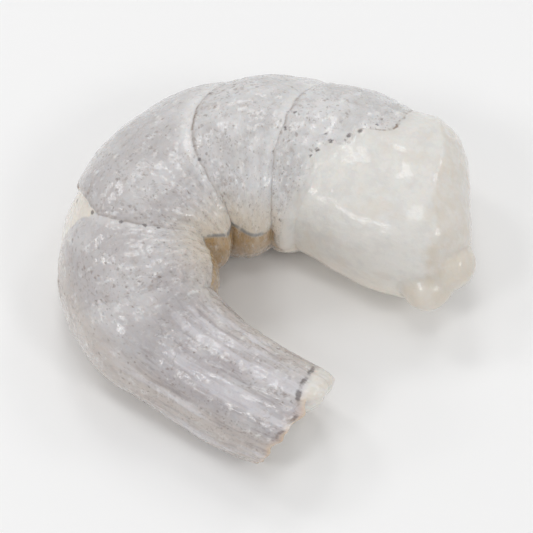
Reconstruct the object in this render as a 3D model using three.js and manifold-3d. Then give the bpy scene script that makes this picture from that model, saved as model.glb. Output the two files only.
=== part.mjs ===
// A raw shrimp tail, peeled, deveined and cut off blunt at both ends.
// It lies on its side in a tight curl. Millimetres, +Z up.
// The origin is on the floor under the middle of its box, +X is the side of the wide
// head end, and the narrow tail end lies towards -Y.
import * as THREE from "three";
import { mergeVertices } from "three/addons/utils/BufferGeometryUtils.js";
import Module from "manifold-3d";

// Body segments from head to tail: length and bend along the mid-line, height from
// back to belly, how far the joint behind each one lies from the segment's end on the
// back, on the flank and on the belly, how wide that joint stands open on the back, and
// how high the round ridge across the belly behind it is
const SOMITES = [
  { length: 15.8, bend: 1.5, height: 22.4, lean: [-4.8, 0.7, 6.2], open: 0, ridge: 0.3 },
  { length: 10.0, bend: 16, height: 23.3, lean: [-5.8, -0.3, 1.2], open: 0.8, ridge: 0.9 },
  { length: 11.4, bend: 34, height: 23.3, lean: [-9.2, 0.3, 1.3], open: 0.4, ridge: 1.0 },
  { length: 13.1, bend: 52, height: 21.3, lean: [-4.0, 2.0, 0.0], open: 6.2, ridge: 1.0 },
  { length: 12.6, bend: 50.5, height: 19.5, lean: [-3.9, -0.4, 2.1], open: 0.4, ridge: 0.6 },
  { length: 21.7, bend: 15, height: 15.1 },
];
const WIDTH_RATIO = 0.81; // width across the flanks, as a share of the height
const SOFTNESS = 7; // how far one segment's sizes blend into the next

// Where the mid-line starts at the head end, and which way it sets off
const START = new THREE.Vector2(26.7, 6.6);
const START_HEADING = 154;

// Section: an ellipse whose shoulders are filled out a little
const SHOULDER = 0.88;

// Ends: over what length the head rounds off and how bluntly, how many degrees each cut
// leans towards the back and over what length, and how far the tail's cut leans over
const HEAD_ROUND = 6.7;
const HEAD_BLUNT = 2.8;
const HEAD_SLANT = 25;
const HEAD_SLANT_REACH = 15;
const TAIL_SLANT = -6;
const TAIL_SLANT_REACH = 8.5;
const TAIL_LEAN = 0.46; // for each millimetre up
const SLANT_FADE = 1.5;

// The tail's cut, from the skin over the edge to the middle of the hollow: the share of
// the full section, and how far each point is ahead of the end. A plug of white flesh
// fills the cut's upper corner towards the belly, where the skin's edge is drawn back.
const TAIL_CUT = [[1, -0.9], [0.97, -0.1], [0.93, -0.4], [0.86, -1.1], [0.6, -0.9], [0, -1]];
const PLUG_CUT = [[1, -2.8], [0.96, -1.9], [0.87, -0.4], [0.7, 0.8], [0.4, 1], [0, -1]];
const PLUG_ANGLE = 132;
const PLUG_FULL = 38; // degrees to either side where it is whole
const PLUG_END = 72; // degrees to either side where it ends
const PLUG_REACH = 9;

// The neck muscle stands out of the first segment's cut edge, a little smaller
const NECK_EDGE = 5;
const NECK_EDGE_BACK = 4;
const NECK_STEP = 0.9;
const NECK_STEP_WIDTH = 1.6;

// Joints: grooves between the segments, deeper where they stand open on the back and
// shallower where the bend squeezes them together on the belly
const GROOVE_DEPTH = 0.5;
const GROOVE_WIDTH = 1.6;
const OPEN_DEPTH = 0.08; // for each millimetre that it stands open
const OPEN_FROM = 0.25; // cosine of the angle from the back where it starts to open
const OPEN_SPREAD = 1.5;
const BELLY_SHALLOW = 0.6;
const SWELL = 0.4; // how far each segment is fuller halfway than at its joints

// Belly: how far round the body the ridges spread, the length of the last one, and a
// fuller first segment
const RIDGE_SPREAD = 0.9;
const LAST_RIDGE = 7;
const BREAST_HEIGHT = 1.9;
const BREAST_AT = 10;
const BREAST_LENGTH = 7;

// The cut that took out the vein runs down the back
const SLIT_DEPTH = 1.4;
const SLIT_WIDTH = 0.7;
const SLIT_START = 1.5;
const SLIT_END = 57;
const SLIT_FADE = 4;
const SLIT_WANDER = 0.5;
const SLIT_WAVE = 8;

// Scraps of flesh at the head end: how far each one is ahead of the end, out from the
// mid-line towards the back and up from it, and its half sizes in these directions
const HEAD_SCRAPS = [
  { ahead: -0.8, out: -8.0, up: 0.7, size: [3.1, 3.3, 3.1] },
  { ahead: 1.0, out: -11.1, up: -1.2, size: [3.1, 3.6, 2.7] },
];

// The lowest flank settles to a flat strip this deep
const SETTLED = 0.5;

// Facets: around the body, and in each stretch along it
const AROUND = 54;
const HEAD_ROWS = 9;
const MIDDLE_ROWS = 80;
const BACK_CROWDING = 0.35; // facets are closer together beside the cut in the back
const SCRAP_FACETS = [18, 12];
const SPINE_STEPS = 600;
const MERGE_DISTANCE = 1e-4;

const FLESH_COLOUR = 0xd0ccc5;
const FLESH_ROUGHNESS = 0.35;

const TURN = 2 * Math.PI;
const degrees = THREE.MathUtils.degToRad;
const clamp = THREE.MathUtils.clamp;
const lerp = THREE.MathUtils.lerp;
const smoothstep = THREE.MathUtils.smoothstep;
const bell = (x) => Math.exp(-x * x);

// Each segment's start, middle and end along the mid-line
let reached = 0;
for (const somite of SOMITES) {
  somite.start = reached;
  somite.middle = reached + somite.length / 2;
  reached += somite.length;
  somite.end = reached;
}
const LENGTH = reached;
const JOINTED = SOMITES.filter((somite) => somite.lean);

// A segment size at any station, blended from the segments near it
function sizeAt(station, sizeOf) {
  let sum = 0;
  let weights = 0;
  for (const somite of SOMITES) {
    const weight = bell((station - somite.middle) / SOFTNESS);
    sum += weight * sizeOf(somite);
    weights += weight;
  }
  return sum / weights;
}

const heightAt = (station) => sizeAt(station, (somite) => somite.height);
const bendAt = (station) => sizeAt(station, (somite) => somite.bend / somite.length);

// The mid-line as many short steps: where it is and which way it runs
function buildSpine() {
  const step = LENGTH / SPINE_STEPS;
  const point = START.clone();
  let heading = degrees(START_HEADING);
  const spine = [];
  for (let i = 0; i <= SPINE_STEPS; i += 1) {
    const forward = new THREE.Vector2(Math.cos(heading), Math.sin(heading));
    spine.push({ point: point.clone(), forward });
    heading += degrees(bendAt((i + 0.5) * step)) * step;
    point.addScaledVector(forward, step);
  }
  return spine;
}
const SPINE = buildSpine();

// A point of the body from its station, its way out from the mid-line towards the
// back, its way up from the mid-line, and its way ahead of the station
function placed(station, out, up, ahead) {
  const { point, forward } = SPINE[Math.round((station / LENGTH) * SPINE_STEPS)];
  return new THREE.Vector3(
    point.x + forward.x * ahead + forward.y * out,
    point.y + forward.y * ahead - forward.x * out,
    (heightAt(station) * WIDTH_RATIO) / 2 + up,
  );
}

// Angle round the body: 0 on the back, a quarter turn on the upper flank, half a
// turn on the belly
function jointAt(somite, angle) {
  const [back, flank, belly] = somite.lean;
  const sway = (back - belly) / 2;
  const mean = ((back + belly) / 2 + flank) / 2;
  const pinch = ((back + belly) / 2 - flank) / 2;
  return somite.end + mean + sway * Math.cos(angle) + pinch * Math.cos(2 * angle);
}

// The grooves, each one from its joint line backwards
function grooves(station, angle) {
  const shallow = 1 - BELLY_SHALLOW * Math.max(0, -Math.cos(angle));
  let depth = 0;
  for (const somite of JOINTED) {
    const opening = Math.max(0, (Math.cos(angle) - OPEN_FROM) / (1 - OPEN_FROM));
    const open = somite.open * opening ** OPEN_SPREAD;
    const half = (GROOVE_WIDTH + open) / 2;
    const off = (station - jointAt(somite, angle) - half) / half;
    depth += (GROOVE_DEPTH + OPEN_DEPTH * open) * shallow * bell(off * off);
  }
  return depth;
}

// An arch between each stop and the next: 0 at the stops, 1 halfway
function arch(station, stops) {
  const next = stops.findIndex((stop) => station < stop);
  if (next < 1) {
    return 0;
  }
  const share = (station - stops[next - 1]) / (stops[next] - stops[next - 1]);
  return Math.sin(Math.PI * share);
}

// Each segment is fuller between its joints than at them
function swell(station, angle) {
  const joints = JOINTED.map((somite) => jointAt(somite, angle));
  return SWELL * (arch(station, [0, ...joints, LENGTH]) - 1);
}

// Round ridges across the belly, with a crease at every joint
const CREASES = JOINTED.map((somite) => jointAt(somite, Math.PI));
CREASES.push(CREASES.at(-1) + LAST_RIDGE);

function bellyRidges(station, angle) {
  const behind = JOINTED.findLast((somite, index) => station >= CREASES[index]);
  const height = behind ? behind.ridge : 0;
  return height * bell((angle - Math.PI) / RIDGE_SPREAD) * Math.sqrt(arch(station, CREASES));
}

// The cut down the back
function slit(station, angle) {
  const across = Math.atan2(Math.sin(angle), Math.cos(angle)) * (heightAt(station) / 2);
  const off = across - SLIT_WANDER * Math.sin(station / SLIT_WAVE);
  const opening = smoothstep(station, SLIT_START, SLIT_START + SLIT_FADE);
  const closing = 1 - smoothstep(station, SLIT_END - SLIT_FADE, SLIT_END);
  return SLIT_DEPTH * bell(off / SLIT_WIDTH) * opening * closing;
}

// The step from the first segment's cut edge down to the neck muscle
function neckStep(station, angle) {
  const edge = NECK_EDGE + NECK_EDGE_BACK * Math.max(0, Math.cos(angle)) ** 2;
  return NECK_STEP * (1 - smoothstep(station, edge - NECK_STEP_WIDTH, edge));
}

// The fuller underside of the first segment
function breast(station, angle) {
  return BREAST_HEIGHT * bell((station - BREAST_AT) / BREAST_LENGTH) * Math.max(0, -Math.cos(angle));
}

// How far the skin stands out of the plain section
function relief(station, angle) {
  const raised = swell(station, angle) + bellyRidges(station, angle) + breast(station, angle);
  return raised - grooves(station, angle) - slit(station, angle) - neckStep(station, angle);
}

// The share of the full section that is left where an end rounds off
function roundOff(distance, reach, bluntness) {
  const x = clamp(1 - distance / reach, 0, 1);
  return (1 - x ** bluntness) ** (1 / bluntness);
}

// How far an end leans, as a slope that fades along the body
function slantAt(distance, slant, reach) {
  return Math.tan(degrees(slant)) * clamp(1 - distance / reach, 0, 1) ** SLANT_FADE;
}

const filled = (x) => Math.sign(x) * Math.abs(x) ** SHOULDER;

// How much of the plug there is: 1 in its middle, 0 away from it
function plugShare(angle) {
  const off = THREE.MathUtils.radToDeg(Math.acos(Math.cos(angle - degrees(PLUG_ANGLE))));
  return 1 - smoothstep(off, PLUG_FULL, PLUG_END);
}

// A point of the skin in a row of facets
function skinPoint({ station, open, plugged }, angle) {
  const plug = plugShare(angle);
  const share = lerp(open[0], plugged[0], plug);
  const ahead = lerp(open[1], plugged[1], plug);
  const fromTail = LENGTH - station - ahead;
  const half = heightAt(station) / 2;
  const grown = share * (1 + relief(station, angle) / half);
  const out = filled(Math.cos(angle)) * half * grown;
  const up = filled(Math.sin(angle)) * half * WIDTH_RATIO * grown;
  const slant =
    slantAt(station, HEAD_SLANT, HEAD_SLANT_REACH) +
    slantAt(fromTail, TAIL_SLANT, TAIL_SLANT_REACH);
  const lean = TAIL_LEAN * clamp(1 - fromTail / TAIL_SLANT_REACH, 0, 1) ** SLANT_FADE;
  return placed(station, out, up, ahead + slant * out + lean * up);
}

// The rows of facets: the station of each one, and the share of the full section and
// the way ahead of the station that its points have, where the tail's cut is open and
// where it is plugged
function facetRows() {
  const rows = [];
  for (let i = 0; i < HEAD_ROWS; i += 1) {
    const station = HEAD_ROUND * (1 - Math.cos((i / HEAD_ROWS) * (Math.PI / 2)));
    const point = [roundOff(station, HEAD_ROUND, HEAD_BLUNT), 0];
    rows.push({ station, open: point, plugged: point });
  }
  const skinEnd = LENGTH + TAIL_CUT[0][1];
  const drawnBack = PLUG_CUT[0][1] - TAIL_CUT[0][1];
  for (let i = 0; i < MIDDLE_ROWS; i += 1) {
    const station = lerp(HEAD_ROUND, skinEnd, i / MIDDLE_ROWS);
    const drawn = drawnBack * smoothstep(station, skinEnd - PLUG_REACH, skinEnd);
    rows.push({ station, open: [1, 0], plugged: [1, drawn] });
  }
  TAIL_CUT.forEach(([share, ahead], index) => {
    const [pluggedShare, pluggedAhead] = PLUG_CUT[index];
    rows.push({
      station: skinEnd,
      open: [share, LENGTH + ahead - skinEnd],
      plugged: [pluggedShare, LENGTH + pluggedAhead - skinEnd],
    });
  });
  return rows;
}

// The body: a sphere's facets, each corner moved to its place on the skin
function bodyGeometry() {
  const rows = facetRows();
  const geometry = new THREE.SphereGeometry(1, AROUND, rows.length - 1);
  const { position, uv } = geometry.attributes;
  for (let i = 0; i < position.count; i += 1) {
    const row = Math.round((1 - uv.getY(i)) * (rows.length - 1));
    const turn = (uv.getX(i) % 1) * TURN;
    const angle = turn - BACK_CROWDING * Math.sin(turn);
    const point = skinPoint(rows[row], angle);
    position.setXYZ(i, point.x, point.y, Math.max(point.z, SETTLED));
  }
  return geometry;
}

// A scrap of flesh at the head end: a ball squashed to its three half sizes
function scrapGeometry({ ahead, out, up, size }) {
  const geometry = new THREE.SphereGeometry(1, ...SCRAP_FACETS);
  const { position } = geometry.attributes;
  for (let i = 0; i < position.count; i += 1) {
    const point = placed(
      0,
      out - size[1] * position.getY(i),
      up + size[2] * position.getZ(i),
      ahead + size[0] * position.getX(i),
    );
    position.setXYZ(i, point.x, point.y, point.z);
  }
  return geometry;
}

// A closed geometry as a solid for joining
const wasm = await Module();
wasm.setup();

function solidOf(geometry) {
  geometry.deleteAttribute("normal");
  geometry.deleteAttribute("uv");
  const merged = mergeVertices(geometry, MERGE_DISTANCE);
  return new wasm.Manifold(
    new wasm.Mesh({
      numProp: 3,
      vertProperties: merged.attributes.position.array,
      triVerts: new Uint32Array(merged.index.array),
    }),
  );
}

function geometryOf(solid) {
  const mesh = solid.getMesh();
  const geometry = new THREE.BufferGeometry();
  geometry.setAttribute("position", new THREE.BufferAttribute(mesh.vertProperties, 3));
  geometry.setIndex(new THREE.BufferAttribute(mesh.triVerts, 1));
  return geometry;
}

// One solid, with its box centred over the origin and its underside at 0
let flesh = solidOf(bodyGeometry());
for (const scrap of HEAD_SCRAPS) {
  flesh = flesh.add(solidOf(scrapGeometry(scrap)));
}
const shape = geometryOf(flesh);
shape.computeBoundingBox();
const centre = shape.boundingBox.getCenter(new THREE.Vector3());
shape.translate(-centre.x, -centre.y, -shape.boundingBox.min.z);
shape.computeVertexNormals();

const shrimp = new THREE.Mesh(
  shape,
  new THREE.MeshStandardMaterial({ color: FLESH_COLOUR, roughness: FLESH_ROUGHNESS, metalness: 0 }),
);
shrimp.name = "shrimp";

const group = new THREE.Group();
group.add(shrimp);

export default group;
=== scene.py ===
"""A raw shrimp tail, peeled, deveined and cut off blunt at both ends, curled up on its side."""

import math
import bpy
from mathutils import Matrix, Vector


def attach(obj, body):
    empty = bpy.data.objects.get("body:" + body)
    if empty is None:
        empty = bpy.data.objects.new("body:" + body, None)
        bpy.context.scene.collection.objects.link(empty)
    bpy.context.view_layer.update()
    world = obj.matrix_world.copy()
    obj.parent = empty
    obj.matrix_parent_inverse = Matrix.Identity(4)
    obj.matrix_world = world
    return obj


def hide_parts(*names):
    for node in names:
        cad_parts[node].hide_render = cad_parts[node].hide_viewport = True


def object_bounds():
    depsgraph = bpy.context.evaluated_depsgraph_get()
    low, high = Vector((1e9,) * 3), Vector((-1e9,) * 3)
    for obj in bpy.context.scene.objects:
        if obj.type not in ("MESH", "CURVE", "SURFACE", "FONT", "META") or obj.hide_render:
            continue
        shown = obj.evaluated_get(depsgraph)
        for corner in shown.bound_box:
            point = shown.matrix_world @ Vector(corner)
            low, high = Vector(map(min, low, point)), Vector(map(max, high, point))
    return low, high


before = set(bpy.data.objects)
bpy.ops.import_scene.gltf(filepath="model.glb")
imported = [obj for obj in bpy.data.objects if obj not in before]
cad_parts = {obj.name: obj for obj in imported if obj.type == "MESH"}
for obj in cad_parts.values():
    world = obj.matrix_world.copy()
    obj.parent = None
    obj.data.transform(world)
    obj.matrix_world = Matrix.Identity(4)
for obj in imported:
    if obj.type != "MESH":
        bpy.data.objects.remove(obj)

from types import SimpleNamespace

import bmesh
import bpy
import numpy as np
from mathutils import Vector, noise

CAD_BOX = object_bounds()
MM = 0.001  # the body is worked out in millimetres
TURN = 2 * math.pi

# Body segments from head to tail, a row each: length and bend along the mid-line,
# height from back to belly, how far the joint behind it lies from the segment's end on
# the back, on the flank and on the belly, how wide that joint stands open on the back,
# how clear its line is, its step's share of the full step, and how high the round ridge
# across the belly behind it is
SOMITE_SIZES = ("length", "bend", "height", "lean", "open", "seam", "step", "ridge")
SOMITE_ROWS = [
    (15.8, 1.5, 22.4, (-4.8, 0.7, 6.2), 0, 0, 0.5, 0.3),
    (10.0, 16, 23.3, (-5.8, -0.3, 1.2), 0.8, 0.7, 1.3, 1.0),
    (11.4, 34, 23.3, (-9.2, 0.3, 1.3), 0.4, 0.9, 1.0, 1.1),
    (13.1, 52, 21.3, (-4.0, 2.0, 0.0), 6.2, 0.6, 0.8, 1.1),
    (12.6, 50.5, 19.5, (-3.9, -0.4, 2.1), 0.4, 0.12, 0.35, 0.7),
    (21.7, 15, 15.1),
]
SOMITES = [dict(zip(SOMITE_SIZES, row)) for row in SOMITE_ROWS]
WIDTH_RATIO = 0.81  # width across the flanks, as a share of the height
SOFTNESS = 7  # how far one segment's sizes blend into the next
SHOULDER = 0.88  # the section is an ellipse whose shoulders are filled out a little
MEAN_RADIUS = 9  # turns an angle into a rough distance round the body

# Unevenness is given as layers of noise: the height, feature size and seed of each one
SEED_SHIFT = 13.7

# Where the mid-line starts at the head end, and which way it sets off
START = (26.7, 6.6)
START_HEADING = 154
SPINE_STEPS = 600

# Ends: over what length the head rounds off and how bluntly, how many degrees each cut
# leans towards the back, and over what length, and the slope of the tail's lean upwards
HEAD_ROUND = 6.7
HEAD_BLUNT = 2.8
HEAD_SLANT = 25
HEAD_SLANT_REACH = 15
TAIL_SLANT = -6
TAIL_SLANT_REACH = 8.5
TAIL_LEAN = 0.46
SLANT_FADE = 1.5

# The tail's cut, from the skin over the thin edge to the middle of the hollow: the
# share of the full section, and how far each point is ahead of the end. It is evened
# out a few times
TAIL_CUT = [
    (1.0, -0.9), (0.99, -0.25), (0.965, 0.0), (0.945, -0.05), (0.93, -0.4), (0.90, -0.95),
    (0.84, -1.2), (0.7, -1.0), (0.5, -0.8), (0.2, -0.9), (0.0, -1.0),
]
TAIL_SMOOTHINGS = 3

# The skin's edge round the cut is ragged, over a reach along the body and between two
# shares of the section
TAIL_RAGGED = [(0.55, 0.22, 21)]
TAIL_RAGGED_REACH = 3.5
TAIL_RAGGED_SECTION = (0.8, 0.93)

# A plug of white flesh fills one corner of the cut: its middle angle, the angles off it
# up to which it is whole and where it ends, and the cut's line there, where the skin's
# edge is drawn back
PLUG_ANGLE = 132
PLUG_WHOLE = 30
PLUG_END = 60
PLUG_CUT = [
    (1.0, -2.4), (1.0, -2.0), (1.005, -1.5), (0.99, -0.8), (0.94, -0.1), (0.86, 0.4), (0.74, 0.7),
    (0.6, 0.75), (0.4, 0.5), (0.2, -0.2), (0.0, -1.0),
]

# The neck muscle stands out of the first segment's cut edge, a little smaller
NECK_EDGE = 5
NECK_EDGE_BACK = 4
NECK_UNEVEN = [(1.0, 0.6, 41), (0.4, 0.22, 42)]
NECK_STEP = 0.5
NECK_STEP_UNEVEN = [(0.5, 0.5, 43)]
NECK_STEP_WIDTH = 2.4

# Joints: a step down behind each segment that fades along the next one, wider and
# deeper where the joint stands open on the back and shallower on the belly, and how far
# each segment swells between its joints
STEP_DEPTH = 0.17
STEP_EDGE = 0.55
STEP_FADE = 1.5
OPEN_DEPTH = 0.10
OPEN_FROM = 0.25
OPEN_SPREAD = 1.5
BELLY_SHALLOW = 0.6
SWELL = 0.4

# Each joint's line wobbles by noise of two sizes, the second half as high, with a seed
# that is so many further on
WOBBLE = 0.35
WOBBLE_SIZES = (0.3, 0.11)
WOBBLE_SEEDS_APART = 10

# Belly: how far round the body the ridges spread, the length of the last one, and a
# fuller first segment
RIDGE_SPREAD = 0.9
LAST_RIDGE = 7
BREAST_HEIGHT = 1.9
BREAST_AT = 10
BREAST_LENGTH = 7

# The flank's scalloped lower edge: its mean angle by station, how many degrees deep
# each scallop hangs and how blunt it is, how long the first one is, how many degrees
# further from the belly's middle the edge of the flank it lies on is, how far down that
# flank this is so, and how far the edge stands out, from which station on
FLANK_EDGE = [(16, 190), (23, 182), (30, 172), (38, 165), (50, 155), (58, 150)]
SCALLOP = 7
SCALLOP_BLUNT = 0.6
FIRST_SCALLOP = 6
LOWER_EDGE = 24
LOWER_FLANK = (0, 0.35)
FLAP = 0.16
FLAP_WIDTH = (-0.2, 0.9)
FLAP_START = (16, 24)

# The cut that took out the vein runs down the back
SLIT_DEPTH = 1.4
SLIT_WIDTH = 0.6
SLIT_LIP = 0.18
SLIT_START = 1.5
SLIT_END = 57
SLIT_FADE = 4
SLIT_WANDER = 0.5
SLIT_WAVE = 8
SLIT_SHAKE = 0.35
SLIT_UNEVEN = 0.4
SLIT_SHAKE_SIZE = 3.5
SLIT_SHAKE_SEED = 61

# Lobes of flesh at the head end: how far each one is ahead of the end, out from the
# mid-line towards the back and up from it, its half sizes in these directions, and
# where its root is, as a share of them. The lobes fade out between two shares of their
# size, and are evened out where more than a share is theirs
LOBES = [
    {"at": (-0.8, -8.0, 0.7), "size": (3.1, 3.3, 3.1), "root": (0.4, 0.3, -0.5)},
    {"at": (1.0, -11.1, -1.2), "size": (3.1, 3.6, 2.7), "root": (0.3, 0.6, 0.0)},
]
LOBE_FADE = (0.85, 1.3)
LOBE_SMOOTHED = 0.2
LOBE_SMOOTHINGS = 6

# The ragged rear edge of the smooth first segment: angle from the back, and station
CAP_EDGE = [
    (0, 11.0), (42, 11.7), (62, 11.9), (80, 12.4), (86, 16.3), (98, 16.9), (101, 19.2),
    (110, 20.5), (126, 20.7), (142, 22.2), (154, 23.9), (180, 25.0),
]
CAP_RAGGED = [(0.45, 0.12, 31), (0.25, 0.05, 32)]
CAP_CALM = 0.30  # how much of the skin's fine relief the first segment lacks
CAP_CALM_EDGE = (-1.5, 1.5)

# Fine relief: lumps everywhere, ridges along the tail, and fibres on the cut faces
LUMPS = [(0.22, 7.5, 6), (0.16, 4.2, 1), (0.09, 2.0, 2)]
STRIATIONS = [(0.20, 2.6, 14), (0.14, 1.3, 4), (0.07, 0.6, 5)]
STRIATION_STRETCH = 0.16
STRIATION_BEND = [(0.25, 3.0, 9)]
STRIATION_START = (60, 74)
FIBRES = [(0.10, 1.6, 51), (0.05, 0.8, 52)]
NECK_FIBRES = (0, 3)
TAIL_FIBRES = (0.2, 0.4)

# Pebbles are round bumps in two sizes: size, height everywhere, height added in the
# patches, and shift. The patches' station, angle and reach follow
PEBBLES = [(1.05, 0.06, 0.13, 0), (0.62, 0.03, 0.05, 50)]
PEBBLE_ROUND = 0.8
PEBBLE_PATCHES = [
    (13, 58, 4), (29, 72, 6), (39.5, 138, 4), (44, 114, 4.5), (56, 122, 6), (67, 108, 6.5),
    (73, 84, 6), (58, 300, 6), (35, 280, 6),
]
PEBBLED_BESIDE = [(0.35, 5.0, 7)]

# Pleats: shallow folds where the bend squeezes the lower flank, half as high on the
# second segment
PLEAT_HEIGHT = 0.17
FIRST_PLEATS = 0.5
PLEATS = 4
PLEAT_ANGLE = 122
PLEAT_SPREAD = 28

# Dark marks where torn skin is left along the ragged edge and behind the joints:
# station, angle and radius
MARKS = [
    (14.4, 80, 0.20), (15.9, 88, 0.24), (17.1, 92, 0.26), (19.0, 99, 0.25), (20.4, 107, 0.27),
    (21.2, 112, 0.24), (19.9, 95, 0.18), (24.4, 86, 0.20), (25.3, 96, 0.22), (26.9, 112, 0.20),
    (38.6, 104, 0.24), (33.5, 60, 0.22), (50.9, 60, 0.24), (52.2, 84, 0.24), (52.6, 98, 0.26),
    (52.8, 108, 0.22), (49.0, 34, 0.22),
]

# Dark shreds of skin lie along the tail's edge: the angle, half length, half width and
# depth of colour of each one, and how far they lie inside the edge
TAIL_MARKS = [
    (124, 1.20, 0.22, 0.9), (105, 0.85, 0.20, 0.85), (89, 0.75, 0.26, 0.95), (66, 1.10, 0.26, 0.7),
    (46, 0.80, 0.26, 0.7), (338, 0.80, 0.26, 0.6), (224, 0.90, 0.26, 0.7),
]
TAIL_MARK_INSET = -0.3

# A joint's line is fainter on the belly, and flesh is bare where a joint stands open
BELLY_SEAM_LOSS = 0.8
BELLY_SEAM = (0.05, 0.75)
GAP_OPEN = (0.4, 1.2)
GAP_FRONT = (-0.1, 0.2)
GAP_REAR = (-0.3, 1.0)

# Colours over the tail's cut, as shares of the way over it: the thin edge and its
# width, the bare face, and the plug
RIM_AT = 0.14
RIM_WIDTH = 0.08
BARE_FACE = (0.25, 0.4)
PLUG_FACE = (0.03, 0.10)

# Facets: around the body, and rows in the stretches from head to tail, closer together
# towards the back, the joints and the head's pole
AROUND = 288
ROWS = [40, 30, 30, 36, 46, 42, 62, 44]
BACK_CROWDING = 0.35
JOINT_CROWDING = 0.55
HEAD_CROWDING = 1.4

SETTLED = 0.5  # how far the lowest flank is pressed flat
SETTLED_EDGE = 0.15


def smoothstep(value, low, high):
    """0 below low, 1 above high, and an even curve between them."""
    x = np.clip((value - low) / (high - low), 0, 1)
    return x * x * (3 - 2 * x)


def bell(x):
    return np.exp(-np.square(x))


def signed_power(x, power):
    return np.sign(x) * np.abs(x) ** power


# Each segment's middle and end along the mid-line
reached = 0
for somite in SOMITES:
    somite["middle"] = reached + somite["length"] / 2
    reached += somite["length"]
    somite["end"] = reached
LENGTH = reached
JOINTED = SOMITES[:-1]


def size_at(station, size_of):
    """A segment size at any station, blended from the segments near it."""
    weights = [bell((station - somite["middle"]) / SOFTNESS) for somite in SOMITES]
    total = sum(weight * size_of(somite) for weight, somite in zip(weights, SOMITES))
    return total / sum(weights)


def height_at(station):
    return size_at(station, lambda somite: somite["height"])


def bend_at(station):
    return size_at(station, lambda somite: somite["bend"] / somite["length"])


def build_spine():
    """The mid-line as many short steps: stations, headings in radians, and points."""
    step = LENGTH / SPINE_STEPS
    stations = np.arange(SPINE_STEPS + 1) * step
    bends = bend_at(stations[:-1] + step / 2) * step
    headings = np.radians(START_HEADING + np.concatenate([[0], np.cumsum(bends)]))
    moves = np.stack([np.cos(headings), np.sin(headings)], axis=1)[:-1] * step
    points = START + np.concatenate([[[0, 0]], np.cumsum(moves, axis=0)])
    return stations, headings, points


SPINE = build_spine()


def placed(station, out, up, ahead):
    """Points from their stations, their ways out towards the back and up from the
    mid-line, and their ways ahead of the station."""
    stations, headings, points = SPINE
    heading = np.interp(station, stations, headings)
    forward_x, forward_y = np.cos(heading), np.sin(heading)
    x = np.interp(station, stations, points[:, 0]) + forward_x * ahead + forward_y * out
    y = np.interp(station, stations, points[:, 1]) + forward_y * ahead - forward_x * out
    return np.stack([x, y, height_at(station) * WIDTH_RATIO / 2 + up], axis=1)


def ripples(places, size, seed):
    """Smooth noise from -1 to 1 over the places, with features of about that size."""
    moved = places / size + seed * SEED_SHIFT
    return np.array([noise.noise(place) for place in moved.tolist()])


def uneven(places, layers):
    """Layers of noise over the places, in millimetres."""
    return sum(height * ripples(places, size, seed) for height, size, seed in layers)


def bumps(places, size):
    """Round bumps packed side by side, 0 in the valleys between them to 1 on top."""
    distances = [noise.voronoi(place)[0][0] for place in (places / size).tolist()]
    return 1 - np.minimum(np.array(distances) / PEBBLE_ROUND, 1) ** 2


# The angle round the body is 0 on the back, a quarter turn on the upper flank, half a
# turn on the belly, and three quarters on the flank that it lies on
def folded(angle):
    """The angle from the back on either flank, 0 to half a turn."""
    return np.arccos(np.clip(np.cos(angle), -1, 1))


def uneven_round(angle, layers):
    """Noise round the body that closes on itself."""
    circle = np.stack([np.cos(angle), np.sin(angle), np.zeros_like(angle)], axis=1)
    return uneven(circle, layers)


def joint_at(somite, angle):
    """The station of the joint behind a segment."""
    back, flank, belly = somite["lean"]
    sway = (back - belly) / 2
    mean = ((back + belly) / 2 + flank) / 2
    pinch = ((back + belly) / 2 - flank) / 2
    return somite["end"] + mean + sway * np.cos(angle) + pinch * np.cos(2 * angle)


def wobble(angle, seed):
    wide, fine = WOBBLE_SIZES
    return uneven_round(angle, [(WOBBLE, wide, seed), (WOBBLE / 2, fine, seed + WOBBLE_SEEDS_APART)])


def arch(station, stops):
    """0 at each stop and beyond the last one, 1 halfway from each to the next."""
    height = np.zeros_like(station)
    for start, end in zip(stops[:-1], stops[1:]):
        share = (station - start) / (end - start)
        height += np.where((share > 0) & (share < 1), np.sin(math.pi * np.clip(share, 0, 1)), 0)
    return height


def openness(somite, angle):
    """How wide a joint stands open, in millimetres."""
    near_back = np.clip((np.cos(angle) - OPEN_FROM) / (1 - OPEN_FROM), 0, 1)
    return somite["open"] * near_back**OPEN_SPREAD


def joint_steps(station, angle, joints):
    """The step down behind each joint line."""
    shallow = 1 - BELLY_SHALLOW * np.maximum(0, -np.cos(angle))
    depth = np.zeros_like(station)
    for somite, joint in zip(JOINTED, joints):
        opened = openness(somite, angle)
        behind = station - joint
        fallen = smoothstep(behind, -STEP_EDGE / 2, STEP_EDGE / 2)
        risen = np.exp(-np.maximum(0, behind - opened) / STEP_FADE)
        step = STEP_DEPTH * somite["step"] + OPEN_DEPTH * opened
        depth += step * shallow * fallen * risen
    return depth


def belly_creases():
    """The stations of the joints on the belly, and of the last ridge's end."""
    creases = [joint_at(somite, math.pi) for somite in JOINTED]
    return [*creases, creases[-1] + LAST_RIDGE]


def belly_ridges(station, angle):
    creases = belly_creases()
    behind = np.clip(np.searchsorted(creases, station) - 1, 0, len(JOINTED) - 1)
    heights = np.array([somite["ridge"] for somite in JOINTED])[behind]
    return heights * bell((angle - math.pi) / RIDGE_SPREAD) * np.sqrt(arch(station, creases))


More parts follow.
